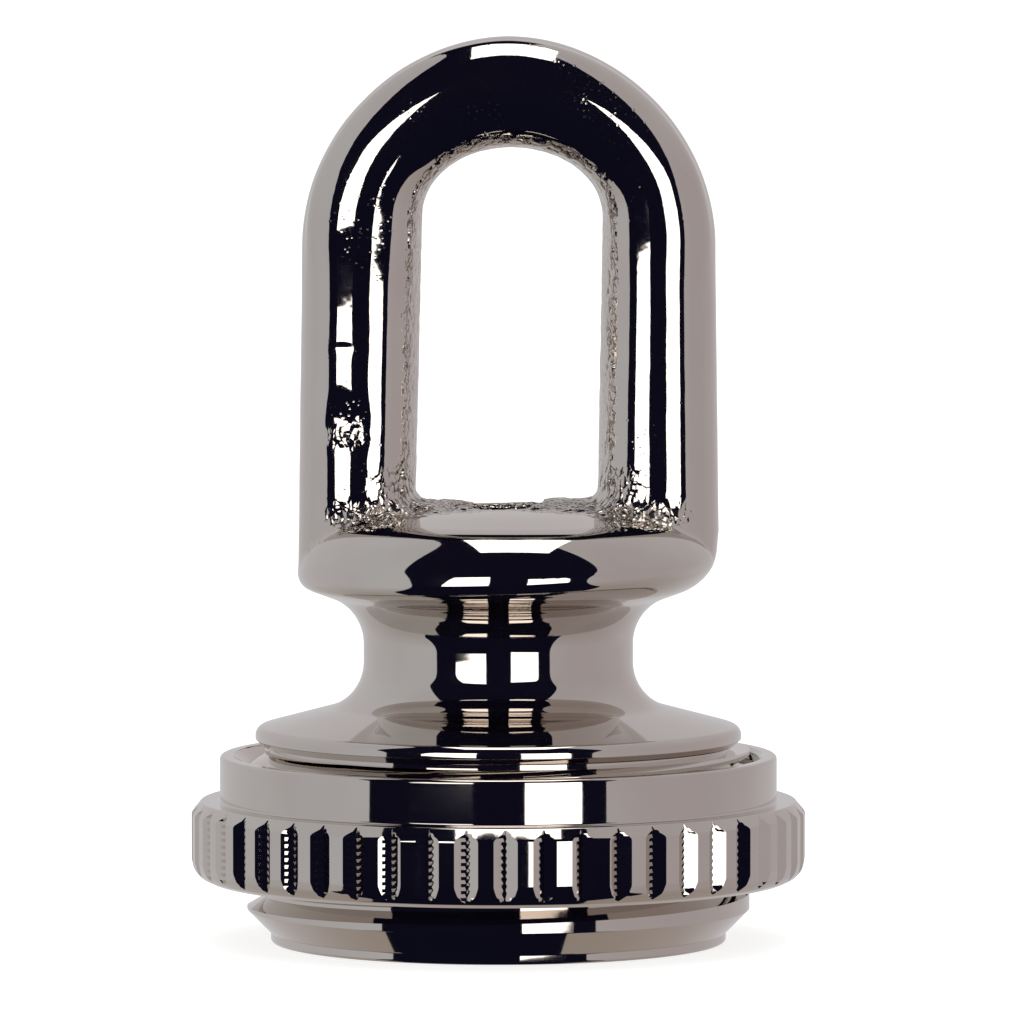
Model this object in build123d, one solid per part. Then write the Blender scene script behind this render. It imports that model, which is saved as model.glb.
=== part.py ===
from build123d import *
import math
import os

# Screw collar loop: a cast and turned loop with a threaded boss, and the
# knurled collar ring that screws onto the boss. Sizes are in millimetres.
# Heights run up the turned axis from the flat end of the threaded boss.

# Threaded boss
THREAD_D = 26.5  # slips through the usual 27 mm canopy hole
PITCH = 1.5
FLANK_ANGLE = 30.0  # each flank from the thread's own square-on plane
FLAT_SHARE = 1 / 8  # crest and root flats, as shares of the pitch
THREAD_START_Z = 2.2  # height of the groove's centre where it starts
THREAD_START_ANGLE = 100.0  # round from the +X side, to the back
END_D = 24.0  # flat end of the boss
END_BAND = 0.5  # plain band before the lead-in cone
RELIEF_Z = 10.15  # lower edge of the relief under the flare
RELIEF_STEP = 0.07  # relief is this much deeper than the thread

# Flared foot of the neck
FLARE_D = 25.6
FLARE_UNDER_Z = 10.4
FLARE_LIP = 0.33  # height and depth of the chamfer below the rim
FLARE_RIM = 0.58
FLARE_RIM_ROUND = 0.5  # on the rim's upper edge
FLARE_SLOPE = 15.0

# Neck
NECK_D = 14.2
NECK_FOOT_ROUND = 3.0
NECK_HEAD_ROUND = 2.6

# Round seat under the loop, turned below and cast above
SEAT_TURNED_D = 23.3
SEAT_CAST_D = 22.2
SEAT_UNDER_Z = 17.55  # where the underside would meet the neck
SEAT_UNDER_SLOPE = 20.0
SEAT_LOWER_ROUND = 2.9
SEAT_TOP_Z = 22.95
SEAT_FLAT_D = 8.4
SEAT_RIM_DROP = 0.9  # the rim's crease lies this far below the seat's top
SEAT_RIM_INSET = 1.3  # and this far inside the seat's side
SEAT_RIM_SLOPE = 54.5  # steepness of the seat's side where it meets the crease
SEAT_SIDE_SHARE = 0.96  # its rounding, as a share of the largest that fits below the crease

# Cast loop
LOOP_SHIFT = 0.55  # the casting stands this far to the side of the turned axis
LOOP_TOP_Z = 47.68
LOOP_ARCH_R = 10.84
LOOP_DRAFT = 0.8  # lean of each leg's outer side
LOOP_DEPTH = 6.2
LOOP_ROOT = 4.2  # how far the legs run down into the seat
EYE_FLOOR_RISE = 0.2  # above the seat's top
EYE_TOP_Z = 41.85
EYE_HALF_WIDTH = 4.74
EYE_DRAFT = 0.2
EYE_LEAN = 1.2  # the eye's core stood a little off upright
EYE_SHIFT = 0.2  # and to the side, at the arch
EYE_ARCH_RISE = 3.6
EYE_CORNER_R = 0.75
BAR_ROUND_SHARE = 0.45  # edge rounds, as a share of the thinnest of depth and bar

# Holes along the axis
TAPPED_D = 9.2  # minor diameter of the small pipe thread
TAPPED_DEPTH = 12.0
TAPPED_CHAMFER = 0.6
DRILL_POINT = 118.0
WIRE_HOLE_D = 5.0

# Collar ring
RING_Z = 3.3  # its flat seat, as it stands part way up the thread
RING_BORE_GAP = 0.15  # each side, round the thread's crests
RING_WALL = 1.28  # of the plain shoulder above the band
RING_BAND_PROUD = 1.49  # the band stands this far out from the shoulder
RING_HEIGHT = 6.55
RING_BAND_HEIGHT = 4.15
RING_TOP_CHAMFER = 0.35
RING_MOUTH_CHAMFER = 0.6
RING_FOOT_CHAMFER = 0.3
BAND_LOWER_CHAMFER = (0.9, 0.87)  # height, depth
BAND_UPPER_CHAMFER = (0.64, 0.52)
GROOVE_COUNT = 50
GROOVE_START_ANGLE = 5.0  # the first groove, round from the +X side
GROOVE_WIDTH = 1.26
GROOVE_DEPTH = 0.47

# Worked out from the sizes above
THREAD_R = THREAD_D / 2
GROOVE_HALF_MOUTH = PITCH * (1 - FLAT_SHARE) / 2
GROOVE_HALF_ROOT = PITCH * FLAT_SHARE / 2
THREAD_DEPTH = (GROOVE_HALF_MOUTH - GROOVE_HALF_ROOT) / math.tan(math.radians(FLANK_ANGLE))
THREAD_ROOT_R = THREAD_R - THREAD_DEPTH
RELIEF_R = THREAD_ROOT_R - RELIEF_STEP
EYE_FLOOR_Z = SEAT_TOP_Z + EYE_FLOOR_RISE
RING_TOP_Z = RING_Z + RING_HEIGHT
RING_BORE_R = THREAD_R + RING_BORE_GAP
RING_SHOULDER_R = RING_BORE_R + RING_WALL
RING_R = RING_SHOULDER_R + RING_BAND_PROUD


def slope_rise(run, degrees):
    """Height gained over a level run at a slope."""
    return run * math.tan(math.radians(degrees))


def turn(points, rounds):
    """A solid turned about the Z axis from an outline of (radius, height)
    points, with some of its corners rounded: {corner's number: radius}."""
    outline = Polyline(*[(r, 0, z) for r, z in points], close=True)
    section = make_face(outline)
    for number, radius in rounds.items():
        corner = section.vertices().sort_by_distance((points[number][0], 0, points[number][1]))[0]
        section = fillet(corner, radius)
    return revolve(section, Axis.Z)


def post(radius, height):
    """A plain cylinder up the axis from the flat end of the boss."""
    return Cylinder(radius, height, align=(Align.CENTER, Align.CENTER, Align.MIN))


def turned_form():
    """What the lathe leaves: boss, relief, flare, neck and seat underside.
    Above the seat it runs on as a plain cylinder that clears the casting."""
    end_r, flare_r, neck_r = END_D / 2, FLARE_D / 2, NECK_D / 2
    seat_r, clear_z = SEAT_TURNED_D / 2, LOOP_TOP_Z + LOOP_ARCH_R
    cone_top_z = END_BAND + THREAD_R - end_r
    lip_z = FLARE_UNDER_Z + FLARE_LIP
    rim_z = lip_z + FLARE_RIM
    points = [
        (0, 0),
        (end_r, 0),
        (end_r, END_BAND),
        (THREAD_R, cone_top_z),
        (THREAD_R, RELIEF_Z),
        (RELIEF_R, RELIEF_Z),
        (RELIEF_R, FLARE_UNDER_Z),
        (flare_r - FLARE_LIP, FLARE_UNDER_Z),
        (flare_r, lip_z),
        (flare_r, rim_z),
        (neck_r, rim_z + slope_rise(flare_r - neck_r, FLARE_SLOPE)),
        (neck_r, SEAT_UNDER_Z),
        (seat_r, SEAT_UNDER_Z + slope_rise(seat_r - neck_r, SEAT_UNDER_SLOPE)),
        (seat_r, clear_z),
        (0, clear_z),
    ]
    rounds = {9: FLARE_RIM_ROUND, 10: NECK_FOOT_ROUND, 11: NECK_HEAD_ROUND, 12: SEAT_LOWER_ROUND}
    return turn(points, rounds)


def cast_seat():
    """The round seat as cast, to one side of the axis: its side rounds over to
    a crease, and inside that the top rises to a small flat."""
    seat_r, flat_r = SEAT_CAST_D / 2, SEAT_FLAT_D / 2
    rim_z = SEAT_TOP_Z - SEAT_RIM_DROP
    slope = math.radians(SEAT_RIM_SLOPE)
    side_z = rim_z - SEAT_RIM_INSET / math.tan(slope)
    side_round = SEAT_SIDE_SHARE * SEAT_RIM_INSET / math.sin(slope) / math.tan(slope / 2)
    points = [
        (0, 0),
        (seat_r, 0),
        (seat_r, side_z),
        (seat_r - SEAT_RIM_INSET, rim_z),
        (flat_r, SEAT_TOP_Z),
        (0, SEAT_TOP_Z),
    ]
    return Pos(LOOP_SHIFT, 0, 0) * turn(points, {2: side_round})


def arch_outline(half_width, rise, draft, foot_z, corner_r):
    """A closed outline in the XZ plane, with the arch's centre at the origin:
    two legs that lean in by the draft, joined by half a circle or an ellipse
    that they touch, with rounded corners at the foot unless their radius is 0."""
    lean = math.radians(draft)
    touch = math.degrees(math.atan(rise / half_width * math.tan(lean)))
    touch_x = half_width * math.cos(math.radians(touch))
    touch_z = rise * math.sin(math.radians(touch))
    foot_x = touch_x + (touch_z - foot_z) * math.tan(lean)
    with BuildSketch(Plane.XZ) as outline:
        with BuildLine():
            if rise == half_width:
                CenterArc((0, 0), rise, touch, 180 - 2 * touch)
            else:
                EllipticalCenterArc((0, 0), half_width, rise, touch, arc_size=180 - 2 * touch)
            Polyline((-touch_x, touch_z), (-foot_x, foot_z), (foot_x, foot_z), (touch_x, touch_z))
        make_face()
        if corner_r:
            fillet(outline.vertices().group_by(Axis.Z)[0], corner_r)
    return outline.sketch


def cast_loop():
    """The loop as a plate with an eye, rounded to a bar on every long edge."""
    foot_z = SEAT_TOP_Z - LOOP_ROOT
    arch_z = LOOP_TOP_Z - LOOP_ARCH_R
    eye_z = EYE_TOP_Z - EYE_ARCH_RISE
    outer = Pos(0, 0, arch_z) * arch_outline(LOOP_ARCH_R, LOOP_ARCH_R, LOOP_DRAFT, foot_z - arch_z, 0)
    eye = arch_outline(EYE_HALF_WIDTH, EYE_ARCH_RISE, EYE_DRAFT, EYE_FLOOR_Z - eye_z, EYE_CORNER_R)
    eye = Pos(EYE_SHIFT, 0, eye_z) * Rot(0, EYE_LEAN, 0) * eye
    plate = extrude(outer - eye, LOOP_DEPTH / 2, both=True)
    thinnest = min(LOOP_DEPTH, LOOP_TOP_Z - EYE_TOP_Z, LOOP_ARCH_R - EYE_HALF_WIDTH - EYE_SHIFT)
    faces = plate.faces().filter_by(Axis.Y).sort_by(Axis.Y)
    edges = (faces[0].edges() + faces[-1].edges()).filter_by(
        lambda edge: edge.center().Z > foot_z + PITCH / 100
    )
    return Pos(LOOP_SHIFT, 0, 0) * fillet(edges, thinnest * BAR_ROUND_SHARE)


def thread_cutter():
    """The helical groove between the threads, run out into the relief."""
    over = GROOVE_HALF_ROOT / 2  # how far the cutter stands proud of the crests
    mouth = GROOVE_HALF_MOUTH + slope_rise(over, FLANK_ANGLE)
    helix = Helix(PITCH, FLARE_UNDER_Z + PITCH - THREAD_START_Z, THREAD_ROOT_R)
    section = make_face(
        Polyline(
            (THREAD_ROOT_R, 0, -GROOVE_HALF_ROOT),
            (THREAD_R + over, 0, -mouth),
            (THREAD_R + over, 0, mouth),
            (THREAD_ROOT_R, 0, GROOVE_HALF_ROOT),
            close=True,
        )
    )
    groove = Pos(0, 0, THREAD_START_Z) * Rot(0, 0, THREAD_START_ANGLE) * sweep(section, path=helix, is_frenet=True)
    return groove & post(THREAD_R + PITCH, FLARE_UNDER_Z)


def axial_holes():
    """The tapped hole in the boss and the wire hole up to the eye's floor."""
    tap_r, wire_r = TAPPED_D / 2, WIRE_HOLE_D / 2
    point_z = TAPPED_DEPTH + (tap_r - wire_r) / math.tan(math.radians(DRILL_POINT / 2))
    points = [
        (0, -TAPPED_CHAMFER),
        (tap_r + 2 * TAPPED_CHAMFER, -TAPPED_CHAMFER),
        (tap_r, TAPPED_CHAMFER),
        (tap_r, TAPPED_DEPTH),
        (wire_r, point_z),
        (wire_r, EYE_FLOOR_Z + WIRE_HOLE_D),
        (0, EYE_FLOOR_Z + WIRE_HOLE_D),
    ]
    return turn(points, {})


def loop_casting():
    """One casting, turned, threaded and drilled."""
    stock = post(THREAD_R + PITCH, SEAT_UNDER_Z)
    casting = (stock + cast_seat() + cast_loop()) & turned_form()
    return casting - thread_cutter() - axial_holes()


def collar_ring():
    """The ring: a knurled band below a plain shoulder, bored to clear the
    thread's crests."""
    lower_rise, lower_in = BAND_LOWER_CHAMFER
    upper_drop, upper_in = BAND_UPPER_CHAMFER
    band_z = RING_Z + RING_BAND_HEIGHT
    points = [
        (RING_BORE_R + RING_FOOT_CHAMFER, RING_Z),
        (RING_R - lower_in, RING_Z),
        (RING_R, RING_Z + lower_rise),
        (RING_R, band_z - upper_drop),
        (RING_R - upper_in, band_z),
        (RING_SHOULDER_R, band_z),
        (RING_SHOULDER_R, RING_TOP_Z - RING_TOP_CHAMFER),
        (RING_SHOULDER_R - RING_TOP_CHAMFER, RING_TOP_Z),
        (RING_BORE_R + RING_MOUTH_CHAMFER, RING_TOP_Z),
        (RING_BORE_R, RING_TOP_Z - RING_MOUTH_CHAMFER),
        (RING_BORE_R, RING_Z + RING_FOOT_CHAMFER),
    ]
    return turn(points, {}) - knurl_grooves()


def knurl_grooves():
    """The V grooves round the band, each a little wider than deep."""
    flare = 1 + GROOVE_DEPTH / GROOVE_WIDTH  # carries each flank out past the band
    mouth_x = RING_R - GROOVE_DEPTH + GROOVE_DEPTH * flare
    mouth_y = GROOVE_WIDTH / 2 * flare
    root_x = RING_R - GROOVE_DEPTH
    vee = make_face(Polyline((root_x, 0), (mouth_x, mouth_y), (mouth_x, -mouth_y), close=True))
    groove = Pos(0, 0, RING_Z - GROOVE_DEPTH) * extrude(vee, RING_HEIGHT + 2 * GROOVE_DEPTH)
    turns = [GROOVE_START_ANGLE + 360 / GROOVE_COUNT * n for n in range(GROOVE_COUNT)]
    return [Rot(0, 0, turn_angle) * groove for turn_angle in turns]


os.makedirs("parts", exist_ok=True)
for name, shape in {"loop_casting": loop_casting(), "collar_ring": collar_ring()}.items():
    shape.label = name
    export_step(shape, f"parts/{name}.step")
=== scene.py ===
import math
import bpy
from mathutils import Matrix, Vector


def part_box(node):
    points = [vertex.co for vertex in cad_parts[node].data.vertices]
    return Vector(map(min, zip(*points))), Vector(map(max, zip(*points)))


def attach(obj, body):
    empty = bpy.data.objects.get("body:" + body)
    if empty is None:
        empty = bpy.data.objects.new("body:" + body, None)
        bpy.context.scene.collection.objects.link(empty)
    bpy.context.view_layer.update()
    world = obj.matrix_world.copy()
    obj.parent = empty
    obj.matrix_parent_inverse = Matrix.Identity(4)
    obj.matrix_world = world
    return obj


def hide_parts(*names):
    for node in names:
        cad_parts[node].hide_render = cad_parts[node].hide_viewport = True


bl_info = {
    "name": "Screw Collar Loop",
    "version": (1, 0, 0),
    "blender": (4, 5, 0),
    "location": "View3D > Sidebar > Collar Loop",
    "description": "Dresses a screw collar loop: its casting, its knurled ring and a photo studio",
    "category": "Add Mesh",
}

from types import SimpleNamespace

import bmesh
import bpy
import numpy as np
from mathutils import Matrix, Vector

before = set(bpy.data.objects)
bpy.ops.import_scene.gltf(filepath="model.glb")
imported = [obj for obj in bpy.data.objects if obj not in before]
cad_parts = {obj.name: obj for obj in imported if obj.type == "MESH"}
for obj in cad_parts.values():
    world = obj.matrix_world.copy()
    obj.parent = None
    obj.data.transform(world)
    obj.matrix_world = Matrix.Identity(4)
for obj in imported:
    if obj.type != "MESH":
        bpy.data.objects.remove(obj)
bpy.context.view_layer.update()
BASE_LOW, BASE_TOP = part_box("loop_casting")
RING_LOW, RING_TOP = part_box("collar_ring")

MM = 0.001
PLATE = "nickel_plate"  # a plain material with the slot's name is already there
FULL_TURN = 2 * math.pi


def length(name, millimetres, description):
    """A length that a user can change, kept in metres."""
    return bpy.props.FloatProperty(
        name=name, description=description, default=millimetres * MM, unit="LENGTH", precision=5
    )


def slant(name, degrees, description):
    """An angle that a user can change, kept in radians."""
    return bpy.props.FloatProperty(
        name=name, description=description, default=math.radians(degrees), unit="ROTATION"
    )


def amount(name, value, description):
    """A plain number that a user can change."""
    return bpy.props.FloatProperty(name=name, description=description, default=value)


def count(name, value, description):
    """A whole number that a user can change."""
    return bpy.props.IntProperty(name=name, description=description, default=value, min=1)


def linear(hex_colour):
    """An sRGB hex colour as linear red, green and blue."""
    parts = [int(hex_colour[i : i + 2], 16) / 255 for i in (1, 3, 5)]
    return tuple(p / 12.92 if p <= 0.04045 else ((p + 0.055) / 1.055) ** 2.4 for p in parts)


def colour(name, hex_colour, description):
    """A colour that a user can change."""
    return bpy.props.FloatVectorProperty(
        name=name, description=description, default=linear(hex_colour), subtype="COLOR", size=3
    )


class CastingSizes(bpy.types.PropertyGroup):
    """Sizes of the cast loop and its seat, above the middle of the neck."""

    top: length("Top", BASE_TOP.z / MM, "Height of the loop's top")
    shift: length("Shift", 0.55, "The casting stands this far to the side of the turned axis")
    arch_radius: length("Arch radius", 10.84, "Outside radius of the loop's arch")
    arch_power: amount("Arch power", 1.93, "2 is a round arch, and less is a slightly pointed one")
    draft: slant("Draft", 0.8, "Lean of each leg's outer side")
    depth: length("Depth", 6.2, "Front to back of the loop's bar")
    eye_floor: length("Eye floor", 23.15, "Height of the opening's floor")
    eye_top: length("Eye top", 41.85, "Height of the opening's top")
    eye_half_width: length("Eye half width", 4.74, "Half the width of the opening")
    eye_rise: length("Eye rise", 3.6, "Rise of the opening's arch")
    eye_draft: slant("Eye draft", 0.2, "Lean of the opening's sides")
    eye_lean: slant("Eye lean", 1.2, "Lean of the whole opening")
    eye_shift: length("Eye shift", 0.2, "Sideways shift of the opening's arch")
    eye_corner: length("Eye corner", 0.75, "Radius of the opening's lower corners")
    arch_swell: length("Arch swell", 0.36, "The bar is this much thicker round the arch, front and back")
    squareness: amount("Squareness", 2.25, "2 is a round bar, and more is a squarer one")
    seat_radius: length("Seat radius", 11.1, "Radius of the round seat as cast")
    seat_back: length("Seat back", 0.3, "The cast seat stands this far behind the turned axis")
    seat_top: length("Seat top", 22.95, "Height of the seat's flat middle")
    seat_flat: length("Seat flat", 4.2, "Radius of the seat's flat middle")
    rim_drop: length("Rim drop", 0.78, "The seat's crease lies this far below its top")
    rim_inset: length("Rim inset", 1.9, "The crease lies this far inside the seat's side")
    rim_slope: slant("Rim slope", 66.0, "Steepness of the seat's side at the crease")
    side_round: length("Side round", 3.15, "Rounding of the seat's side up to the crease")
    turned_radius: length("Turned radius", 11.65, "Radius of the seat's turned lower part")
    under: length("Under", 17.55, "Height at which the seat's underside would meet the neck")
    under_slope: slant("Under slope", 20.0, "Slope of the seat's underside")
    lower_round: length("Lower round", 2.9, "Rounding of the seat's lower edge")
    head_round: length("Head round", 2.6, "Fillet between the neck and the underside")
    neck_radius: length("Neck radius", 7.1, "Radius of the neck")
    split: length("Split", 15.4, "Height at which the turned boss's own mesh ends")
    wire_radius: length("Wire radius", 2.5, "Radius of the hole for the cord")
    leg_blend: length("Leg blend", 1.1, "How far the legs run into the seat")
    polish_blend: length("Polish blend", 0.4, "How far polishing has rounded the turned edge")
    grain: length("Grain", 0.4, "Width of the lumps left by the sand")
    grain_height: length("Grain height", 0.012, "Height of those lumps")
    foot_height: length("Foot height", 0.1, "Height of the lumps round the legs' feet")
    edge_height: length("Edge height", 0.07, "Height of the rough edge where the polishing ends")
    wave: length("Wave", 2.2, "Width of the faint waves that the buffing wheel leaves")
    wave_height: length("Wave height", 0.006, "Height of those waves")
    voxel: length("Voxel", 0.17, "Size of the casting mesh's faces")


class BossSizes(bpy.types.PropertyGroup):
    """Sizes of the turned and threaded boss, up to the middle of the neck."""

    thread_radius: length("Thread radius", 13.25, "Radius of the thread's crests")
    pitch: length("Pitch", 1.5, "Distance from crest to crest")
    flank: slant("Flank", 30.0, "Angle of each flank")
    flat: length("Flat", 0.1875, "Width of the thread's crest and root flats")
    start_height: length("Start height", 2.2, "Height of the groove's centre where it starts")
    start_angle: slant("Start angle", 100.0, "Where the groove starts, round from +X")
    end_radius: length("End radius", 12.0, "Radius of the boss's flat end")
    end_band: length("End band", 0.5, "Plain band below the lead-in cone")
    relief: length("Relief", 10.15, "Lower edge of the relief under the flare")
    relief_radius: length("Relief radius", 12.05, "Radius of the relief")
    flare_under: length("Flare under", 10.4, "Height of the flare's underside")
    flare_radius: length("Flare radius", 12.8, "Radius of the flare's rim")
    flare_lip: length("Flare lip", 0.33, "Height and depth of the chamfer below the rim")
    flare_rim: length("Flare rim", 0.58, "Thickness of the rim")
    rim_round: length("Rim round", 0.5, "Rounding of the rim's upper edge")
    flare_slope: slant("Flare slope", 15.0, "Slope of the flare's top")
    foot_round: length("Foot round", 2.5, "Fillet between the flare and the neck")
    tap_radius: length("Tap radius", 4.6, "Radius of the tapped hole")
    tap_depth: length("Tap depth", 12.0, "Depth of the tapped hole")
    tap_pitch: length("Tap pitch", 0.94, "Pitch of the tapped hole's thread")
    tap_thread: length("Tap thread", 0.5, "Depth of the tapped hole's thread")
    edge: length("Edge", 0.06, "Rounding of the turned edges")
    spin_steps: count("Spin steps", 288, "Faces round the boss")


class RingSizes(bpy.types.PropertyGroup):
    """Sizes of the knurled collar ring."""

    bottom: length("Bottom", RING_LOW.z / MM, "Height of the ring's seat")
    top: length("Top", RING_TOP.z / MM, "Height of the ring's top")
    bore_radius: length("Bore radius", 13.4, "Radius of the bore")
    shoulder_radius: length("Shoulder radius", 14.68, "Radius of the plain shoulder")
    band_radius: length("Band radius", 16.17, "Radius over the knurled band")
    band_height: length("Band height", 4.15, "Height of the band")
    groove_width: length("Groove width", 1.27, "Width of a knurl groove")
    groove_depth: length("Groove depth", 0.39, "Depth of a knurl groove")
    rung_pitch: length("Rung pitch", 0.36, "Distance between the marks across a groove")
    rung_height: length("Rung height", 0.05, "Height of those marks")
    grooves: count("Grooves", 50, "Number of knurl grooves")
    first_groove: slant("First groove", 5.0, "Where the first groove is, round from +X")
    edge: length("Edge", 0.05, "Rounding of the turned edges")
    arc_faces: count("Arc faces", 6, "Faces from one groove to the next")


class FinishColours(bpy.types.PropertyGroup):
    """Colours of the plating and of the studio that it mirrors."""

    nickel: colour("Nickel", "#D3CDC6", "Polished nickel plate")
    nickel_warm: colour("Warm nickel", "#CDC4BE", "Nickel where the plate is thinner")
    tent: colour("Tent", "#C8CACD", "The pale surroundings that the metal mirrors")
    tent_warm: colour("Warm tent", "#BEB8BA", "The surroundings' warmer side")
    tent_low: colour("Low tent", "#A89E96", "The surroundings below, with the tabletop's tone")
    shade: colour("Shade", "#101021", "The dark opening behind the camera")
    floor: colour("Floor", "#BCBCBA", "The floor")
    lamp: colour("Lamp", "#FFFDF8", "The soft boxes")


class StudioSizes(bpy.types.PropertyGroup):
    """Places of the camera and the lights."""

    camera_distance: length("Camera distance", 540.0, "From the thread's axis to the lens")
    camera_height: length("Camera height", 59.0, "Height of the lens over the floor")
    aim_side: length("Aim side", 0.72, "Side place of the picture's middle")
    aim_height: length("Aim height", 22.65, "Height of the picture's middle")
    lens: length("Lens", 361.5, "Focal length on a sensor 36 mm wide")
    lamp_distance: length("Lamp distance", 500.0, "From the object to each soft box")
    lamp_level: amount("Lamp level", 2.6, "Brightness of the soft boxes, where 1 is white")
    hood_distance: length("Hood distance", 620.0, "From the object to the dark opening")
    world_level: amount("World level", 0.9, "Light from all round")


def in_mm(group):
    """The sizes of a group as plain numbers, with its lengths in millimetres."""
    sizes = {}
    for prop in group.bl_rna.properties:
        if prop.identifier not in ("rna_type", "name"):
            value = getattr(group, prop.identifier)
            in_metres = prop.type == "FLOAT" and prop.unit == "LENGTH"
            sizes[prop.identifier] = value / MM if in_metres else value
    return SimpleNamespace(**sizes)


# Mesh helpers, which all work in millimetres

def rounded(corners, steps):
    """Points round a closed outline in the XZ plane. Each corner is (x, z, radius)."""
    points = []
    count_all = len(corners)
    for i, (x, z, radius) in enumerate(corners):
        corner = Vector((x, 0, z))
        if radius == 0:
            points.append(corner)
            continue
        before, after = corners[i - 1], corners[(i + 1) % count_all]
        back = (Vector((before[0], 0, before[1])) - corner).normalized()
        ahead = (Vector((after[0], 0, after[1])) - corner).normalized()
        half = back.angle(ahead) / 2
        centre = corner + (back + ahead).normalized() * radius / math.sin(half)
        start = corner + back * radius / math.tan(half) - centre
        end = corner + ahead * radius / math.tan(half) - centre
        points += [centre + radius * start.slerp(end, step / steps) for step in range(steps + 1)]
    return points


def spun(bm, points, steps):
    """Turns a closed outline in the XZ plane a full turn about Z."""
    verts = [bm.verts.new(point) for point in points]
    edges = [bm.edges.new((a, b)) for a, b in zip(verts, verts[1:] + verts[:1])]
    bmesh.ops.spin(
        bm,
        geom=verts + edges,
        cent=(0, 0, 0),
        axis=(0, 0, 1),
        angle=FULL_TURN,
        steps=steps,
        use_merge=True,
    )


def helix(bm, points, pitch, turns, steps, start_angle, start_height):
    """Winds a closed outline in the XZ plane up a right-hand helix about Z, as a solid."""
    face = bm.faces.new([bm.verts.new(point) for point in points])
    turn = Matrix.Translation((0, 0, start_height)) @ Matrix.Rotation(start_angle, 4, "Z")
    bmesh.ops.transform(bm, matrix=turn, verts=bm.verts)
    bmesh.ops.spin(
        bm,
        geom=[face] + list(face.verts) + list(face.edges),
        cent=(0, 0, 0),
        axis=(0, 0, 1),
        dvec=(0, 0, pitch / steps),
        angle=FULL_TURN * turns,
        steps=round(steps * turns),
    )


def cut_level(bm, height, keep_below):
    """Cuts a solid off flat at a height and closes it."""
    cut = bmesh.ops.bisect_plane(
        bm,
        geom=list(bm.verts) + list(bm.edges) + list(bm.faces),
        dist=1e-5,
        plane_co=(0, 0, height),
        plane_no=(0, 0, 1),
        clear_outer=keep_below,
        clear_inner=not keep_below,
    )
    rim = [part for part in cut["geom_cut"] if isinstance(part, bmesh.types.BMEdge)]
    bmesh.ops.triangle_fill(bm, use_beauty=True, edges=rim, normal=(0, 0, 1 if keep_below else -1))


def solid(bm, name):
    """An object of the mesh, with its faces pointing outwards."""
    bmesh.ops.remove_doubles(bm, verts=bm.verts, dist=1e-5)
    bmesh.ops.recalc_face_normals(bm, faces=bm.faces)
    mesh = bpy.data.meshes.new(name)
    bm.to_mesh(mesh)
    bm.free()
    piece = bpy.data.objects.new(name, mesh)
    bpy.context.collection.objects.link(piece)
    return piece


def apply_modifiers(piece):
    """Gives the piece the mesh that its modifiers make, and removes them."""
    graph = bpy.context.evaluated_depsgraph_get()
    mesh = bpy.data.meshes.new_from_object(piece.evaluated_get(graph))
    old = piece.data
    piece.modifiers.clear()
    piece.data = mesh
    bpy.data.meshes.remove(old)


def cut_away(piece, cutter):
    """Takes the cutter's volume out of the piece."""
    change = piece.modifiers.new("cut", "BOOLEAN")
    change.operation = "DIFFERENCE"
    change.solver = "EXACT"
    change.object = cutter
    apply_modifiers(piece)
    bpy.data.objects.remove(cutter)


def shade_turned(piece, sharp_degrees):
    """Smooth shading up to an edge angle, led by the larger faces. The slivers that the
    cuts leave are merged first."""
    bm = bmesh.new()
    bm.from_mesh(piece.data)
    bmesh.ops.remove_doubles(bm, verts=bm.verts, dist=1e-3)
    bmesh.ops.dissolve_degenerate(bm, dist=1e-4, edges=bm.edges)
    limit = math.radians(sharp_degrees)
    for edge in bm.edges:
        edge.smooth = edge.calc_face_angle(0) < limit
    for face in bm.faces:
        face.smooth = True
    bm.to_mesh(piece.data)
    bm.free()
    weigh = piece.modifiers.new("weigh", "WEIGHTED_NORMAL")
    weigh.keep_sharp = True
    apply_modifiers(piece)


def finish_piece(piece, body, node, material):
    """Brings a piece from millimetres to its place, and gives it its finish and body."""
    piece.data.transform(Matrix.Scale(MM, 4))
    piece.data.materials.clear()
    piece.data.materials.append(material)
    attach(piece, body)
    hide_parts(node)


# The casting's form, as distances in millimetres that are negative inside the metal

def corner(first, second, between, radius):
    """Distance to a rounded corner of two walls: the distance outside each, and the
    angle between the directions in which they face."""
    lean, square = math.cos(between), math.sin(between) ** 2
    a, b = first + radius, second + radius
    reach = np.sqrt(np.maximum(a * a + b * b - 2 * a * b * lean, 0) / square)
    on_round = (a > b * lean) & (b > a * lean)
    return np.where(on_round, reach - radius, np.maximum(first, second))


def blend_max(first, second, width):
    """The larger of two distances, eased over a width where they are alike."""
    ease = np.maximum(width - np.abs(first - second), 0) / width
    return np.maximum(first, second) + ease * ease * width / 4


def blend_min(first, second, width):
    """The smaller of two distances, eased over a width where they are alike."""
    return -blend_max(-first, -second, width)


def step_up(value, low, high):
    """0 below low, 1 above high and smooth between."""
    share = np.clip((value - low) / (high - low), 0, 1)
    return share * share * (3 - 2 * share)


def ease_up(value, width):
    """About 0 below zero and about the value above it, smooth between."""
    return (value + np.sqrt(value * value + width * width)) / 2


def lumps(points, width, seed):
    """Soft lumps of about that width, from -1 to 1, the same on each run."""
    waves = 28
    draw = np.random.RandomState(seed)
    ways = draw.normal(size=(waves, 3))
    ways /= np.linalg.norm(ways, axis=1)[:, None]
    ways *= (FULL_TURN / (2 * width) * draw.uniform(0.6, 1.5, waves))[:, None]
    starts = draw.uniform(0, FULL_TURN, waves)
    total = np.zeros(len(points))
    for way, start in zip(ways, starts):
        total += np.cos(points @ way + start)
    return total / math.sqrt(waves)


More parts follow.
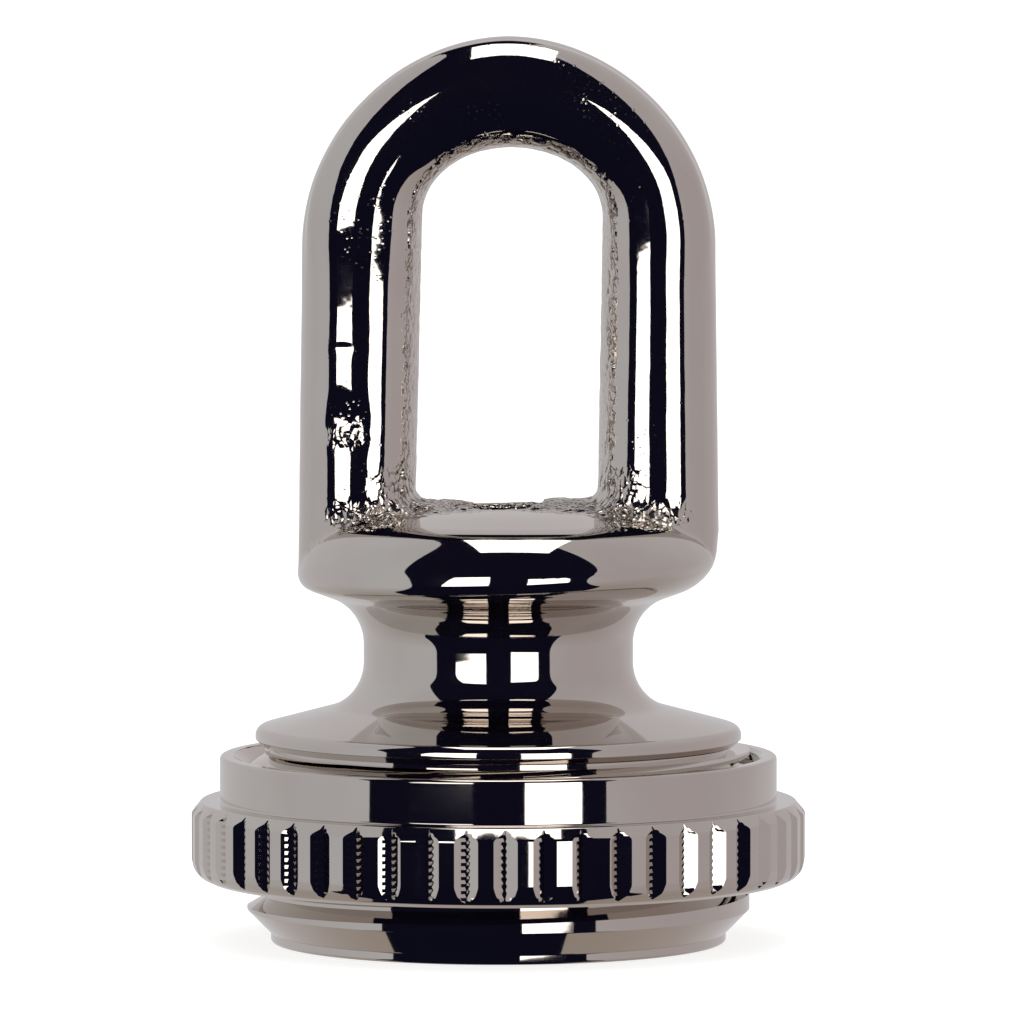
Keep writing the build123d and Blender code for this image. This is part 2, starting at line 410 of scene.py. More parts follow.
def eye_distance(x, z, size):
    """Distance outside the opening's outline, at places across and up."""
    up = z - (size.eye_top - size.eye_rise)
    side = x - size.eye_shift
    across = side * math.cos(size.eye_lean) - up * math.sin(size.eye_lean)
    up = side * math.sin(size.eye_lean) + up * math.cos(size.eye_lean)
    wide, high = size.eye_half_width, size.eye_rise
    reach = np.hypot(across / wide, up / high)
    steep = np.maximum(np.hypot(across / wide**2, up / high**2), 1e-6)
    arch = reach * (reach - 1) / steep
    leg = np.abs(across) - wide + up * math.tan(size.eye_draft)
    wall = np.where(up > 0, arch, leg)
    floor = size.eye_floor - z
    return corner(wall, floor, math.pi / 2, size.eye_corner)


def bar_distance(x, y, z, size):
    """Distance outside the loop's rounded bar, and the place across it: 1 is the
    outside of the loop and -1 the opening's side."""
    up = z - (size.top - size.arch_radius)
    power = size.arch_power
    arch = (np.abs(x) ** power + np.maximum(up, 0) ** power) ** (1 / power)
    outer = np.where(up > 0, arch, np.abs(x)) - size.arch_radius
    outer -= math.tan(size.draft) * ease_up(-up, 3.0)
    eye = eye_distance(x, z, size)
    width = np.maximum(eye - outer, 0.5)
    place = (eye + outer) / width
    power = size.squareness
    round_out = (np.abs(place) ** power + np.abs(2 * y / size.depth) ** power) ** (1 / power)
    return (round_out - 1) * size.depth / 2, place


def blank_distance(x, y, z, size):
    """Distance outside the round seat as cast, which runs on down as a cylinder."""
    radius = np.hypot(x, y)
    crease_radius = size.seat_radius - size.rim_inset
    crease = size.seat_top - size.rim_drop
    side = radius - size.seat_radius
    rim = (radius - crease_radius) * math.cos(size.rim_slope) + (z - crease) * math.sin(size.rim_slope)
    shell = corner(side, rim, size.rim_slope, size.side_round)
    rise = math.atan(size.rim_drop / (crease_radius - size.seat_flat))
    cone = (radius - crease_radius) * math.sin(rise) + (z - crease) * math.cos(rise)
    top = blend_max(cone, z - size.seat_top, 0.4)
    return blend_max(shell, top, 0.22)


def turned_distance(x, y, z, size):
    """Distance outside what the lathe leaves: the neck and the seat's lower part."""
    radius = np.hypot(x, y)
    slope = size.under_slope
    under = (radius - size.neck_radius) * math.sin(slope) - (z - size.under) * math.cos(slope)
    between = math.pi / 2 - slope
    side = radius - size.turned_radius - 3 * ease_up(z - 21.6, 0.2)
    disc = corner(under, side, between, size.lower_round)
    return -corner(size.neck_radius - radius, -disc, between, size.head_round)


# Places on the left leg, front and back, in millimetres: across and up, and the reach
# across and up. Hand polishing left the hollows, and the sand left the cluster of beads.
HOLLOWS = (
    ((-8.1, 31.4, 0.8, 0.3), 0.025),
    ((-8.2, 27.5, 1.2, 1.2), 0.12),
)
BEAD_CLUSTER = (-8.0, 26.9, 0.9, 0.55)

# Where the casting's form changes, in millimetres: the heights between which the bar
# swells towards the arch, the places across between which polishing has worn that swell
# by a share, and the heights at which the legs' feet blend and have their beads
SWELL_HEIGHTS = (32.6, 41.0)
WORN_ACROSS = (-4.0, 9.0)
WORN_SHARE = 0.35
FLUSH_HEIGHTS = (20.9, 22.3)
FOOT_HEIGHTS = (21.9, 22.5)
FOOT_REACH = 0.75
CREASE_BLEND = 0.08  # between the legs' outer sides and the seat
HOLE_BLEND = 0.3


def patch(x, z, area):
    """1 at a place on the loop's side, and fading out round it."""
    across, up, wide, high = area
    return np.exp(-(((x - across) / wide) ** 2) - ((z - up) / high) ** 2)


def sand_skin(x, y, z, bar, place, blank, size):
    """Where the sand's skin is left, from 0 to 1: inside the loop, on the floor of the
    opening, round the legs' feet and in the cluster of beads."""
    cast_x = x - size.shift
    inside_loop = step_up(-place, 0.72, 0.82) * step_up(1.2 - bar, 0, 0.6)
    inside_loop *= step_up(blank, 0.0, 0.9)
    between_legs = step_up(3.2 - np.abs(y), 0, 0.8) * step_up(8.5 - np.abs(cast_x), 0, 1.0)
    floor = between_legs * step_up(z, size.seat_top - 0.55, size.seat_top - 0.25)
    floor *= step_up(size.eye_floor + 2.5 - z, 0, 1.0)
    foot = np.exp(-((bar / FOOT_REACH) ** 2 + (blank / FOOT_REACH) ** 2))
    foot *= step_up(z, *FOOT_HEIGHTS)
    foot *= step_up(0.75 - place, 0, 0.4)
    cluster = patch(x, z, BEAD_CLUSTER) * step_up(np.abs(y), 1.5, 2.4)
    return inside_loop, floor, foot, cluster


def casting_form(points, size):
    """Distance outside the casting, and how rough the sand left it, from 0 to 1."""
    x, y, z = points.T
    cast_x = x - size.shift
    bar, place = bar_distance(cast_x, y, z, size)
    blank = blank_distance(cast_x, y - size.seat_back, z, size)
    flush = step_up(z, *FLUSH_HEIGHTS) * step_up(1.0 - place, 0, 0.6)
    metal = blend_min(bar, blank, CREASE_BLEND + size.leg_blend * flush)

    above_seat = step_up(blank, 0.0, 0.9)
    inside_loop, floor, foot, cluster = sand_skin(x, y, z, bar, place, blank, size)
    grain = lumps(points, size.grain, 3) * size.grain_height * np.maximum(inside_loop, floor)
    beads = lumps(points, 0.8, 8) + 0.6 * lumps(points, 0.42, 21)
    beads = beads * size.foot_height * (foot + 0.5 * cluster)
    along = points * (1, 0.4, 1)
    edge_way = (place + 0.83 + 0.03 * lumps(along, 1.5, 5)) / 0.06
    edge = np.exp(-edge_way * edge_way) * (0.7 + 0.6 * lumps(along, 0.35, 11)) * above_seat

    waves = lumps(points, size.wave, 17) * size.wave_height * above_seat
    front = step_up(np.abs(y), 1.0, 2.2)
    worn = 1 - WORN_SHARE * step_up(x, *WORN_ACROSS)
    waves += size.arch_swell * step_up(z, *SWELL_HEIGHTS) * worn * front
    for area, deep in HOLLOWS:
        waves -= deep * front * patch(x, z, area)

    metal = metal - grain - beads - edge * size.edge_height - waves
    metal = blend_max(metal, turned_distance(x, y, z, size), size.polish_blend)
    hole = np.minimum(size.wire_radius - np.hypot(x, y), size.eye_floor + 6 - z)
    parts = (0.35 * inside_loop, 0.5 * floor, 1.3 * foot, 0.7 * edge, 0.35 * cluster)
    rough = np.clip(np.maximum.reduce(parts), 0, 1)
    return blend_max(metal, hole, HOLE_BLEND), rough


def surface_slope(points, size):
    """Distance outside the casting, and the way in which it grows."""
    reach = 0.01
    here = casting_form(points, size)[0]
    slope = np.empty_like(points)
    for axis in range(3):
        beside = points.copy()
        beside[:, axis] += reach
        slope[:, axis] = (casting_form(beside, size)[0] - here) / reach
    return here, slope


def settle(points, size, rounds):
    """Moves points onto the casting's surface, in steps of limited length."""
    longest = 0.35
    for _ in range(rounds):
        here, slope = surface_slope(points, size)
        move = -here / np.maximum((slope**2).sum(axis=1), 0.2)
        points = points + slope * np.clip(move, -longest, longest)[:, None]
    return points


def rough_casting(size):
    """A closed mesh near the casting's surface: a turned seat and a bent bar as one."""
    bm = bmesh.new()
    seat_edge = size.seat_radius - 0.1
    seat_bottom = 18.2
    low = size.split - 2
    corners = [
        (size.wire_radius, low, 0),
        (size.neck_radius, low, 0),
        (size.neck_radius, seat_bottom, 2.0),
        (seat_edge, seat_bottom, 2.6),
        (seat_edge, size.seat_top - 0.6, 1.6),
        (size.wire_radius, size.seat_top, 0),
    ]
    spun(bm, rounded(corners, 6), 96)
    middle = (size.arch_radius + size.eye_half_width) / 2
    arch = size.top - size.arch_radius
    leg_foot = size.seat_top - 2.5
    ring = bmesh.ops.create_circle(bm, segments=40, radius=size.depth / 2 - 0.05)["verts"]
    bmesh.ops.translate(bm, verts=ring, vec=(size.shift - middle - 0.1, 0, leg_foot))
    hoop = list({edge for vert in ring for edge in vert.link_edges})
    for lift in (arch - leg_foot, None, leg_foot - arch):
        if lift is None:
            made = bmesh.ops.spin(
                bm, geom=hoop, cent=(size.shift, 0, arch), axis=(0, 1, 0), angle=math.pi, steps=40
            )["geom_last"]
        else:
            made = bmesh.ops.extrude_edge_only(bm, edges=hoop)["geom"]
            moved = [part for part in made if isinstance(part, bmesh.types.BMVert)]
            bmesh.ops.translate(bm, verts=moved, vec=(0, 0, lift))
        made_edges = [part for part in made if isinstance(part, bmesh.types.BMEdge)]
        hoop = [edge for edge in made_edges if len(edge.link_faces) == 1]
    bmesh.ops.holes_fill(bm, edges=[edge for edge in bm.edges if edge.is_boundary], sides=0)
    piece = solid(bm, "cast_loop")
    remesh = piece.modifiers.new("one_skin", "REMESH")
    remesh.mode = "VOXEL"
    remesh.voxel_size = size.voxel
    apply_modifiers(piece)
    return piece


def cast_loop(size):
    """The loop and its seat: the skin of a rough casting, settled onto the true form."""
    piece = rough_casting(size)
    bm = bmesh.new()
    bm.from_mesh(piece.data)
    for rounds, evened in ((4, True), (3, False), (3, False)):
        points = settle(np.array([vert.co for vert in bm.verts]), size, rounds)
        for vert, point in zip(bm.verts, points):
            vert.co = point
        if evened:
            bmesh.ops.smooth_vert(
                bm, verts=bm.verts, factor=0.5, use_axis_x=True, use_axis_y=True, use_axis_z=True
            )
    cut_level(bm, size.split, keep_below=False)
    bm.to_mesh(piece.data)
    bm.free()
    mesh = piece.data
    points = np.array([vert.co for vert in mesh.vertices])
    slope = surface_slope(points, size)[1]
    slope /= np.linalg.norm(slope, axis=1)[:, None]
    rough = mesh.attributes.new("as_cast", "FLOAT", "POINT")
    rough.data.foreach_set("value", casting_form(points, size)[1].astype(np.float32))
    normals = []
    for face in mesh.polygons:
        capped = all(abs(points[v][2] - size.split) < 1e-4 for v in face.vertices)
        face.use_smooth = True
        normals += [tuple(face.normal) if capped else tuple(slope[v]) for v in face.vertices]
    mesh.normals_split_custom_set(normals)
    return piece


def thread_section(crest, depth, flat, pitch, outward):
    """The outline of a V groove in a boss's side, or outward in a bore's."""
    half_root = flat / 2
    half_mouth = (pitch - flat) / 2
    over = 0.25 * (-1 if outward else 1)
    root = crest + depth if outward else crest - depth
    spread = (half_mouth - half_root) / depth * abs(over)
    return [
        Vector((root, 0, -half_root)),
        Vector((crest + over, 0, -half_mouth - spread)),
        Vector((crest + over, 0, half_mouth + spread)),
        Vector((root, 0, half_root)),
    ]


def threaded_boss(size, neck_radius, wire_radius, split):
    """The boss, its flare and the lower half of the neck."""
    cone_top = size.end_band + size.thread_radius - size.end_radius
    lip = size.flare_under + size.flare_lip
    rim = lip + size.flare_rim
    neck_foot = rim + (size.flare_radius - neck_radius) * math.tan(size.flare_slope)
    drill_slope = math.radians(31)
    drill_point = size.tap_depth + (size.tap_radius - wire_radius) * math.tan(drill_slope)
    edge = size.edge
    corners = [
        (size.end_radius, 0, edge * 3),
        (size.end_radius, size.end_band, edge),
        (size.thread_radius, cone_top, edge),
        (size.thread_radius, size.relief, edge),
        (size.relief_radius, size.relief, 0),
        (size.relief_radius, size.flare_under, 0),
        (size.flare_radius - size.flare_lip, size.flare_under, edge),
        (size.flare_radius, lip, edge),
        (size.flare_radius, rim, size.rim_round),
        (neck_radius, neck_foot, size.foot_round),
        (neck_radius, split, 0),
        (wire_radius, split, 0),
        (wire_radius, drill_point, 0),
        (size.tap_radius, size.tap_depth, 0),
        (size.tap_radius, size.edge * 10, 0),
        (size.tap_radius + size.edge * 10, 0, 0),
    ]
    bm = bmesh.new()
    spun(bm, rounded(corners, 10), size.spin_steps)
    boss = solid(bm, "threaded_boss")
    depth = (size.pitch / 2 - size.flat) / math.tan(size.flank)
    bm = bmesh.new()
    turns = (size.flare_under + size.pitch - size.start_height) / size.pitch
    section = thread_section(size.thread_radius, depth, size.flat, size.pitch, outward=False)
    helix(bm, section, size.pitch, turns, 180, size.start_angle, size.start_height)
    cut_level(bm, size.flare_under - 0.01, keep_below=True)
    cut_away(boss, solid(bm, "outside_thread"))
    bm = bmesh.new()
    turns = size.tap_depth / size.tap_pitch
    section = thread_section(
        size.tap_radius, size.tap_thread, size.flat / 2, size.tap_pitch, outward=True
    )
    helix(bm, section, size.tap_pitch, turns, 60, 0, -size.tap_pitch)
    cut_away(boss, solid(bm, "inside_thread"))
    shade_turned(boss, 24)
    return boss


def knurl_cutter(size):
    """Every V groove of the knurl, with the marks of the knurling wheel near its root."""
    bm = bmesh.new()
    low, high = size.bottom - 0.3, size.bottom + size.band_height + 0.6
    rows = round((high - low) / size.rung_pitch * 2)
    bmesh.ops.create_grid(bm, x_segments=8, y_segments=rows, size=0.5)
    over = 1.4  # the cutter's width, where 1 is the groove's
    marked = 0.4  # the marks lie within this share of the half width
    for vert in bm.verts:
        across, share = abs(vert.co.x) * 2, vert.co.y + 0.5
        side = math.copysign(1, vert.co.x)
        row = round(share * rows)
        raised = (row + (vert.co.x > 0)) % 2
        mark = size.rung_height * (1 if raised else -1) if across < marked else 0
        out = size.band_radius - size.groove_depth * (1 - across * over) + mark
        vert.co = (out, side * across * over * size.groove_width / 2, low + share * (high - low))
    skin = list(bm.faces)
    made = bmesh.ops.extrude_face_region(bm, geom=skin, use_keep_orig=True)["geom"]
    moved = [part for part in made if isinstance(part, bmesh.types.BMVert)]
    bmesh.ops.translate(bm, verts=moved, vec=(1.5, 0, 0))
    turn = Matrix.Rotation(size.first_groove, 4, "Z")
    bmesh.ops.transform(bm, matrix=turn, verts=bm.verts)
    bmesh.ops.recalc_face_normals(bm, faces=bm.faces)
    bmesh.ops.spin(
        bm,
        geom=list(bm.verts) + list(bm.edges) + list(bm.faces),
        cent=(0, 0, 0),
        axis=(0, 0, 1),
        angle=FULL_TURN * (size.grooves - 1) / size.grooves,
        steps=size.grooves - 1,
        use_duplicate=True,
    )
    return solid(bm, "knurl")


def collar_ring(size, thread):
    """The knurled ring, with its own thread cut outwards so that it clears the boss's."""
    edge, bottom, band = size.edge, size.bottom, size.band_radius
    band_top = bottom + size.band_height
    corners = [
        (size.bore_radius + 0.3, bottom, edge),
        (band - 0.87, bottom, edge * 2),
        (band - 0.45, bottom + 0.2, 0.4),
        (band - 0.12, bottom + 0.55, 0.8),
        (band, bottom + 1.1, 0.9),
        (band, band_top - 0.6, 0.3),
        (band - 0.5, band_top, 0.14),
        (size.shoulder_radius, band_top, 0.12),
        (size.shoulder_radius, size.top, 0.2),
        (size.bore_radius + 0.6, size.top, 0.12),
        (size.bore_radius, size.top - 0.6, edge),
        (size.bore_radius, bottom + 0.3, edge),
    ]
    bm = bmesh.new()
    spun(bm, rounded(corners, 5), size.grooves * size.arc_faces)
    ring = solid(bm, "collar_ring_dressed")
    cut_away(ring, knurl_cutter(size))
    bm = bmesh.new()
    turns = (size.top - bottom) / thread.pitch + 2
    section = thread_section(size.bore_radius, 0.6, thread.flat * 2, thread.pitch, outward=True)
    helix(bm, section, thread.pitch, turns, 120, 0, bottom - thread.pitch)
    cut_away(ring, solid(bm, "ring_thread"))
    shade_turned(ring, 22)
    return ring


# Materials

def add_node(tree, kind, inputs=None, **settings):
    """Adds a node, sets its settings, and fills or links its inputs."""
    node = tree.nodes.new(kind)
    for name, value in settings.items():
        setattr(node, name, value)
    for name, value in (inputs or {}).items():
        if isinstance(value, bpy.types.NodeSocket):
            tree.links.new(value, node.inputs[name])
        else:
            node.inputs[name].default_value = value
    return node


def map_range(tree, value, low, high, start=0.0, end=1.0, **settings):
    """A value's way from low to high, as one from start to end."""
    inputs = {"Value": value, "From Min": low, "From Max": high, "To Min": start, "To Max": end}
    return add_node(tree, "ShaderNodeMapRange", inputs, **settings).outputs[0]


def mix_colours(tree, factor, first, second):
    """A mix of two colours, of which either may be a socket."""
    inputs = {"Factor": factor, 6: first, 7: second}
    return add_node(tree, "ShaderNodeMix", inputs, data_type="RGBA").outputs[2]


def new_material(name):
    """An empty node material and its output."""
    material = bpy.data.materials.new(name)
    material.use_nodes = True
    material.node_tree.nodes.clear()
    return material, add_node(material.node_tree, "ShaderNodeOutputMaterial")


def per(millimetres):
    """The texture scale at which a pattern repeats about once in that distance."""
    return 1 / (millimetres * MM)


def polished_nickel(colours):
    """Bright nickel plate on brass, buffed to a mirror. Buffing leaves a faint orange
    peel and, on the loop, patches of fine specks. Where the wheel can't reach, the
    sand-cast skin stays grainy and beaded."""
    material, output = new_material(PLATE)
    tree = material.node_tree
    place = add_node(tree, "ShaderNodeTexCoord").outputs["Object"]
    as_cast = add_node(tree, "ShaderNodeAttribute", attribute_name="as_cast").outputs["Fac"]

    def noise(size, detail=2.0, roughness=0.5):
        inputs = {"Vector": place, "Scale": per(size), "Detail": detail, "Roughness": roughness}
        return add_node(tree, "ShaderNodeTexNoise", inputs).outputs["Fac"]

    def cells(size):
        inputs = {"Vector": place, "Scale": per(size)}
        return add_node(tree, "ShaderNodeTexVoronoi", inputs).outputs["Distance"]

    def math_node(operation, first, second=0.0, third=0.0):
        inputs = {0: first, 1: second, 2: third}
        return add_node(tree, "ShaderNodeMath", inputs, operation=operation).outputs[0]

    warmth = math_node("MULTIPLY_ADD", noise(6.0), 1.6, -0.3)
    tint = mix_colours(tree, warmth, (*colours.nickel, 1), (*colours.nickel_warm, 1))
    height_up = add_node(tree, "ShaderNodeSeparateXYZ", {0: place}).outputs["Z"]
    on_loop = map_range(tree, height_up, 22.5 * MM, 25 * MM)
    speck = map_range(tree, cells(0.3), 0.1, 0.3, -1.0, 0.0, interpolation_type="SMOOTHSTEP")
    patchy = map_range(tree, noise(4.0), 0.47, 0.62)
    specks = math_node("MULTIPLY", math_node("MULTIPLY", speck, patchy), on_loop)
    peel = math_node("MULTIPLY", noise(1.3), math_node("MULTIPLY_ADD", on_loop, 0.006, 0.001))
    beads = cells(0.34)
    domes = math_node("MULTIPLY", beads, math_node("MULTIPLY", beads, -0.17))
    sand = math_node("MULTIPLY_ADD", noise(0.32, 4.0, 0.6), 0.03, domes)
    sand = math_node("MULTIPLY", sand, as_cast)
    height = math_node("ADD", math_node("MULTIPLY_ADD", specks, 0.003, peel), sand)
    bump = add_node(tree, "ShaderNodeBump", {"Height": height, "Strength": 1.0, "Distance": MM})
    dull_specks = math_node("MULTIPLY_ADD", specks, -0.18, 0.02)
    buffed = math_node("MULTIPLY_ADD", noise(2.5, 4.0), 0.03, dull_specks)
    metal = add_node(tree, "ShaderNodeBsdfPrincipled", {
        "Base Color": tint,
        "Metallic": 1.0,
        "Roughness": math_node("MULTIPLY_ADD", as_cast, 0.14, buffed),
        "Normal": bump.outputs[0],
    })
    tree.links.new(metal.outputs[0], output.inputs[0])
    return material


# The studio

# The soft boxes: whether one hangs overhead, and the slopes at which the object sees its
# edges, sideways and upwards, or sideways and backwards
SOFT_BOXES = {
    "left_box": (False, (-0.84, -0.18), (-0.103, 0.4)),
    "right_box": (False, (0.19, 0.68), (-0.165, 0.32)),
    "top_box": (True, (-0.2, 0.29), (-0.325, 0.27)),
}

# The dark opening round the camera, in degrees. Its ends and the rises between which it
# narrows are counted up and down from the camera, and it is turned to the left.
HOOD_ENDS = (-112, 136)
HOOD_NARROWS_BELOW = (60, 105)
HOOD_NARROWS_ABOVE = (40, 104)
HOOD_HALF_WIDTHS = (17, 49, 13)  # at its lower end, at the camera and at its upper end
HOOD_TURN = -4.5

PAPER_GLOW = 0.74  # what only the camera sees, so that the paper comes out white


def floor_material(colours):
    """Matt white paper, which the camera sees as white wherever no shadow falls."""
    material, output = new_material("paper_floor")
    tree = material.node_tree
    rays = add_node(tree, "ShaderNodeLightPath")
    paper = add_node(tree, "ShaderNodeBsdfDiffuse", {"Color": (*colours.floor, 1)})
    lift = add_node(tree, "ShaderNodeMath", {
        0: rays.outputs["Is Camera Ray"], 1: PAPER_GLOW,
    }, operation="MULTIPLY")
    glow = add_node(tree, "ShaderNodeEmission", {"Color": (1, 1, 1, 1), "Strength": lift.outputs[0]})
    both = add_node(tree, "ShaderNodeAddShader", {0: paper.outputs[0], 1: glow.outputs[0]})
    tree.links.new(both.outputs[0], output.inputs[0])
    return material


def shade_material(colours):
    """Black velvet round the camera, which gives the metal its dark bands."""
    material, output = new_material("black_velvet")
    glow = add_node(material.node_tree, "ShaderNodeEmission", {"Color": (*colours.shade, 1)})
    material.node_tree.links.new(glow.outputs[0], output.inputs[0])
    return material


def stage_object(name, mesh, material):
    """A piece of the studio, which isn't part of the object."""
    mesh.materials.append(material)
    piece = bpy.data.objects.new(name, mesh)
    bpy.context.collection.objects.link(piece)
    return piece


def build_floor(colours):
    """A wide round sheet of paper under the object."""
    bm = bmesh.new()
    bmesh.ops.create_circle(bm, cap_ends=True, segments=96, radius=4.0)
    mesh = bpy.data.meshes.new("floor")
    bm.to_mesh(mesh)
    bm.free()
    floor = stage_object("floor", mesh, floor_material(colours))
    floor.location.z = -0.02 * MM
    floor.visible_glossy = False


def build_hood(size, colours):
    """The dark opening: a strip of a sphere from under the object, past the camera to
    behind overhead, which narrows towards both ends. Only mirrored rays see it."""
    low, high = map(math.radians, HOOD_ENDS)
    narrow_low, wide, narrow_high = map(math.radians, HOOD_HALF_WIDTHS)
    bm = bmesh.new()
    bmesh.ops.create_grid(bm, x_segments=24, y_segments=80, size=0.5)
    for vert in bm.verts:
        rise = low + (vert.co.y + 0.5) * (high - low)
        shut_low = step_up(-rise, *map(math.radians, HOOD_NARROWS_BELOW))
        shut_high = step_up(rise, *map(math.radians, HOOD_NARROWS_ABOVE))
        reach = wide * (1 - shut_low - shut_high) + narrow_low * shut_low + narrow_high * shut_high
        side = vert.co.x * 2 * reach + math.radians(HOOD_TURN)
        ahead = math.cos(side)
        out = Vector((math.sin(side), -ahead * math.cos(rise), ahead * math.sin(rise)))
        vert.co = out * size.hood_distance
    mesh = bpy.data.meshes.new("dark_hood")
    bm.to_mesh(mesh)
    bm.free()
    hood = stage_object("dark_hood", mesh, shade_material(colours))
    hood.visible_camera = False
    hood.visible_diffuse = False
    hood.visible_shadow = False
    hood.visible_transmission = False


def soft_box(name, size, colours, overhead, across, up):
    """An area light in front of the object, or over it. Across and up give the slope at
    which the object sees its edges: sideways and upwards, or sideways and backwards."""
    wide, high = ((edges[1] - edges[0]) * size.lamp_distance for edges in (across, up))
    middle_x, middle_up = (sum(edges) / 2 * size.lamp_distance for edges in (across, up))
    light = bpy.data.lights.new(name, "AREA")
    light.shape = "RECTANGLE"
    light.size, light.size_y = wide, high
    light.color = colours.lamp
    light.energy = size.lamp_level * math.pi * wide * high
    lamp = bpy.data.objects.new(name, light)
    if overhead:
        lamp.location = (middle_x, middle_up, size.lamp_distance + size.aim_height)
    else:
        lamp.location = (middle_x, -size.lamp_distance, middle_up + size.aim_height)
        lamp.rotation_euler.x = math.pi / 2
    lamp.visible_camera = False
    bpy.context.collection.objects.link(lamp)


def build_world(size, colours):
    """White behind the object, an even pale light from all round, and for the metal
    the greyish tent whose tone drifts from cool to warm."""
    world = bpy.data.worlds.new("light_tent")
    bpy.context.scene.world = world
    world.use_nodes = True
    tree = world.node_tree
    tree.nodes.clear()
    rays = add_node(tree, "ShaderNodeLightPath")
    way = add_node(tree, "ShaderNodeTexCoord").outputs["Generated"]
    drift = add_node(tree, "ShaderNodeTexNoise", {"Vector": way, "Scale": 1.3, "Detail": 1.0})
    axes = add_node(tree, "ShaderNodeSeparateXYZ", {0: way})
    warmth = add_node(tree, "ShaderNodeMath", {
        0: axes.outputs["X"], 1: 0.45, 2: drift.outputs["Fac"],
    }, operation="MULTIPLY_ADD")
    sides = mix_colours(tree, warmth.outputs[0], (*colours.tent, 1), (*colours.tent_warm, 1))
    depth = map_range(tree, axes.outputs["Z"], -0.25, -0.9)
    tent = mix_colours(tree, depth, sides, (*colours.tent_low, 1))
    backdrop = map_range(tree, axes.outputs["Y"], 0.1, 1.0, 1.0, 1.12)
    around, mirrored, behind = (
        add_node(tree, "ShaderNodeBackground", {"Color": shown, "Strength": level}).outputs[0]
        for shown, level in (((1, 1, 1, 1), size.world_level), (tent, backdrop), ((1, 1, 1, 1), 1.0))
    )
    glossy = add_node(tree, "ShaderNodeMath", {
        0: rays.outputs["Is Glossy Ray"], 1: rays.outputs["Is Transmission Ray"],
    }, operation="MAXIMUM")
    unseen = add_node(tree, "ShaderNodeMixShader", {0: glossy.outputs[0], 1: around, 2: mirrored})
    both = add_node(tree, "ShaderNodeMixShader", {
        0: rays.outputs["Is Camera Ray"], 1: unseen.outputs[0], 2: behind,
    })
    output = add_node(tree, "ShaderNodeOutputWorld")
    tree.links.new(both.outputs[0], output.inputs[0])


def build_camera(size):
    """A long lens a little above the object."""
    data = bpy.data.cameras.new("camera")
    data.sensor_width = 36.0
    data.lens = size.lens / MM
    camera = bpy.data.objects.new("camera", data)
    bpy.context.collection.objects.link(camera)
    aim = Vector((size.aim_side, 0, size.aim_height))
    camera.location = (size.aim_side, -size.camera_distance, size.camera_height)
    camera.rotation_euler = (camera.location - aim).to_track_quat("Z", "Y").to_euler()
    bpy.context.scene.camera = camera


class COLLARLOOP_OT_threaded_boss(bpy.types.Operator):
    """Turns the boss, cuts both its threads and gives it its flare"""

    bl_idname = "collarloop.threaded_boss"
    bl_label = "Threaded Boss"

    def execute(self, context):
        casting = in_mm(context.scene.casting_sizes)
        boss = threaded_boss(
            in_mm(context.scene.boss_sizes), casting.neck_radius, casting.wire_radius, casting.split
        )
        finish_piece(boss, "loop_body", "loop_casting", bpy.data.materials[PLATE])
        return {"FINISHED"}


class COLLARLOOP_OT_cast_loop(bpy.types.Operator):
    """Casts the loop and its seat, with the rough skin that polishing leaves inside"""

    bl_idname = "collarloop.cast_loop"
    bl_label = "Cast Loop"

    def execute(self, context):
        piece = cast_loop(in_mm(context.scene.casting_sizes))
        finish_piece(piece, "loop_body", "loop_casting", bpy.data.materials[PLATE])
        return {"FINISHED"}


class COLLARLOOP_OT_collar_ring(bpy.types.Operator):
    """Turns the collar ring and knurls its band"""

    bl_idname = "collarloop.collar_ring"
    bl_label = "Collar Ring"

    def execute(self, context):
        piece = collar_ring(in_mm(context.scene.ring_sizes), in_mm(context.scene.boss_sizes))
        finish_piece(piece, "ring_body", "collar_ring", bpy.data.materials[PLATE])
        return {"FINISHED"}


class COLLARLOOP_OT_finish(bpy.types.Operator):
    """Makes the plating's material"""

    bl_idname = "collarloop.finish"
    bl_label = "Polished Nickel"

    def execute(self, context):
        polished_nickel(context.scene.finish_colours)
        return {"FINISHED"}


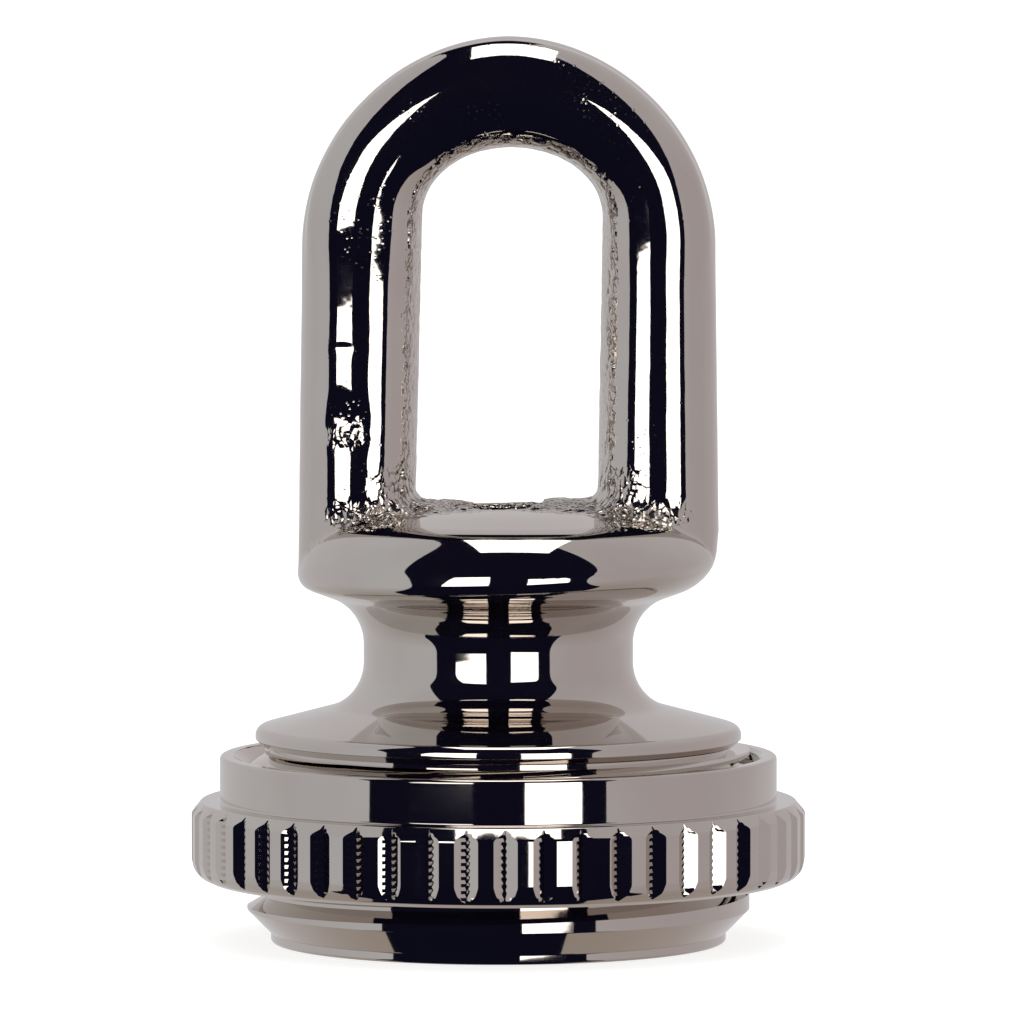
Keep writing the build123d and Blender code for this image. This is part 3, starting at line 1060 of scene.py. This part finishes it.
class COLLARLOOP_OT_studio(bpy.types.Operator):
    """Sets up the floor, the lights, the dark hood and the camera"""

    bl_idname = "collarloop.studio"
    bl_label = "Studio"

    def execute(self, context):
        size, colours = context.scene.studio_sizes, context.scene.finish_colours
        build_world(size, colours)
        build_floor(colours)
        build_hood(size, colours)
        for name, (overhead, across, up) in SOFT_BOXES.items():
            soft_box(name, size, colours, overhead, across, up)
        build_camera(size)
        context.scene.view_settings.view_transform = "Standard"
        return {"FINISHED"}


class COLLARLOOP_PT_panel(bpy.types.Panel):
    """The add-on's page in the sidebar"""

    bl_idname = "COLLARLOOP_PT_panel"
    bl_label = "Screw Collar Loop"
    bl_space_type = "VIEW_3D"
    bl_region_type = "UI"
    bl_category = "Collar Loop"

    def draw(self, context):
        for operator in OPERATORS:
            self.layout.operator(operator.bl_idname)
        for name in SETTINGS:
            group = getattr(context.scene, name)
            box = self.layout.box()
            box.label(text=name.replace("_", " ").capitalize())
            for prop in group.bl_rna.properties:
                if prop.identifier not in ("rna_type", "name"):
                    box.prop(group, prop.identifier)


SETTINGS = {
    "casting_sizes": CastingSizes,
    "boss_sizes": BossSizes,
    "ring_sizes": RingSizes,
    "finish_colours": FinishColours,
    "studio_sizes": StudioSizes,
}
OPERATORS = (
    COLLARLOOP_OT_finish,
    COLLARLOOP_OT_threaded_boss,
    COLLARLOOP_OT_cast_loop,
    COLLARLOOP_OT_collar_ring,
    COLLARLOOP_OT_studio,
)


def register():
    """Adds the settings, the operators and the panel to Blender."""
    for name, group in SETTINGS.items():
        bpy.utils.register_class(group)
        setattr(bpy.types.Scene, name, bpy.props.PointerProperty(type=group))
    for operator in OPERATORS:
        bpy.utils.register_class(operator)
    bpy.utils.register_class(COLLARLOOP_PT_panel)


def unregister():
    """Takes them away again."""
    bpy.utils.unregister_class(COLLARLOOP_PT_panel)
    for operator in reversed(OPERATORS):
        bpy.utils.unregister_class(operator)
    for name, group in reversed(SETTINGS.items()):
        delattr(bpy.types.Scene, name)
        bpy.utils.unregister_class(group)


def main():
    """Builds the whole scene."""
    register()
    bpy.ops.collarloop.finish()
    bpy.ops.collarloop.threaded_boss()
    bpy.ops.collarloop.cast_loop()
    bpy.ops.collarloop.collar_ring()
    bpy.ops.collarloop.studio()


if __name__ == "__main__":
    main()
